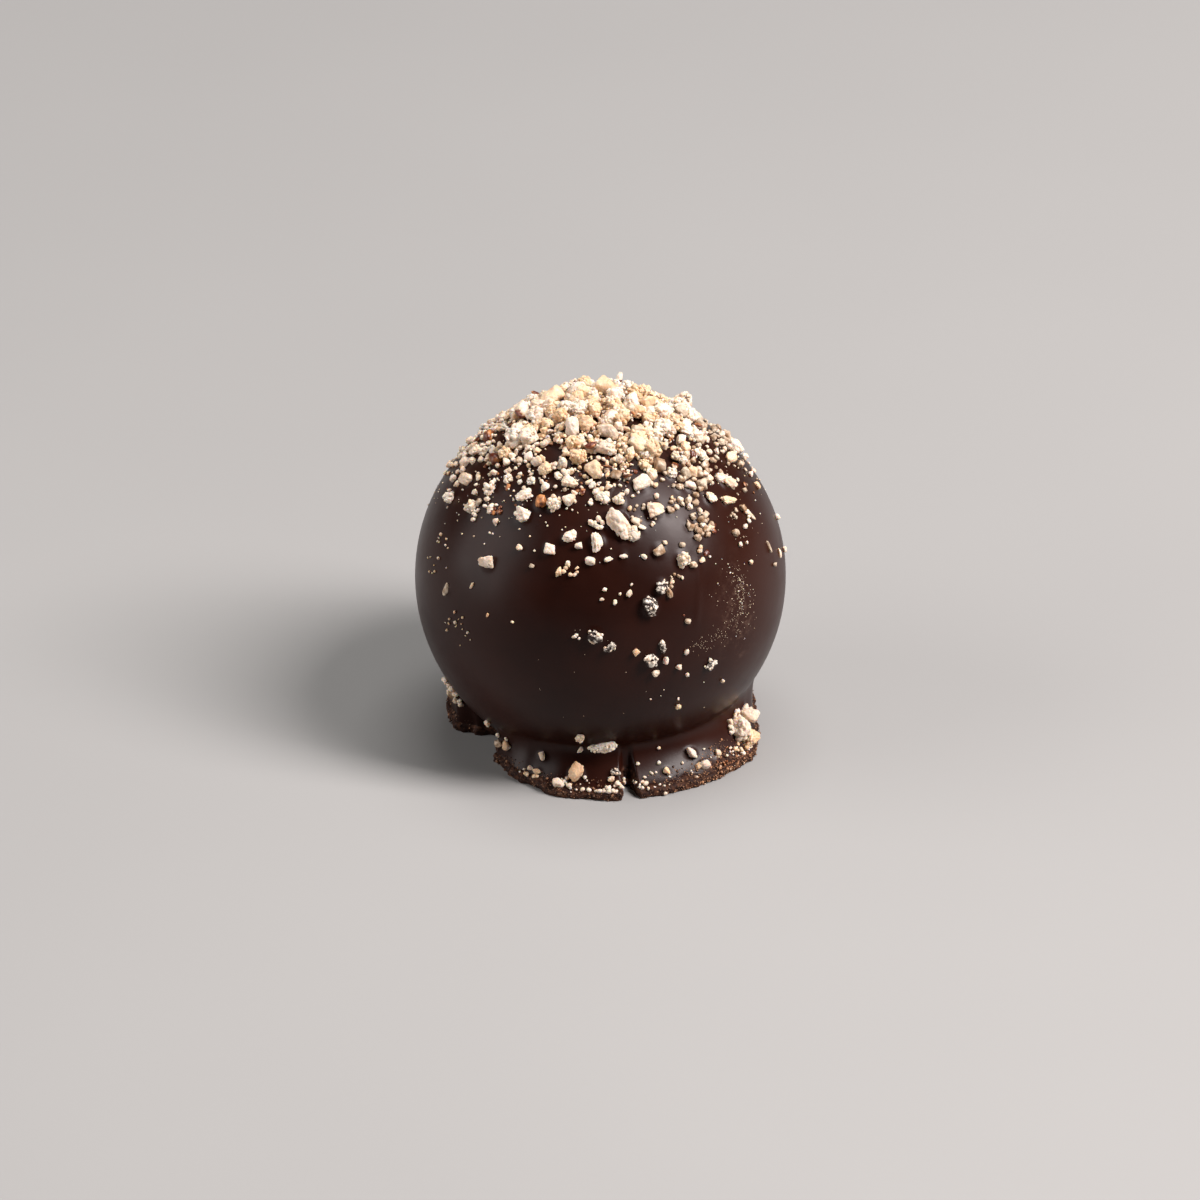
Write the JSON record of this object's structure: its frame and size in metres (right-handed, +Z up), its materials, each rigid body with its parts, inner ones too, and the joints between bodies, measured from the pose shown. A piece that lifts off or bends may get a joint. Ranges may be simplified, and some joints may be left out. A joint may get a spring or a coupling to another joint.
{
  "type": "chocolate truffle",
  "caption": "Round dipped dark chocolate truffle with a spread, ragged foot of set chocolate and chopped hazelnut over its top.",
  "frame": {"origin": "on the flat underside, straight below the centre of the ball", "axes": "+Z up, -Y towards the front, the side with the widest stretch of foot and its crack"},
  "size_m": [0.0269, 0.0274, 0.0258],
  "materials": {
    "chocolate": "satin"
  },
  "bodies": {
    "root": {"truffle": "chocolate"}
  },
  "joints": []
}
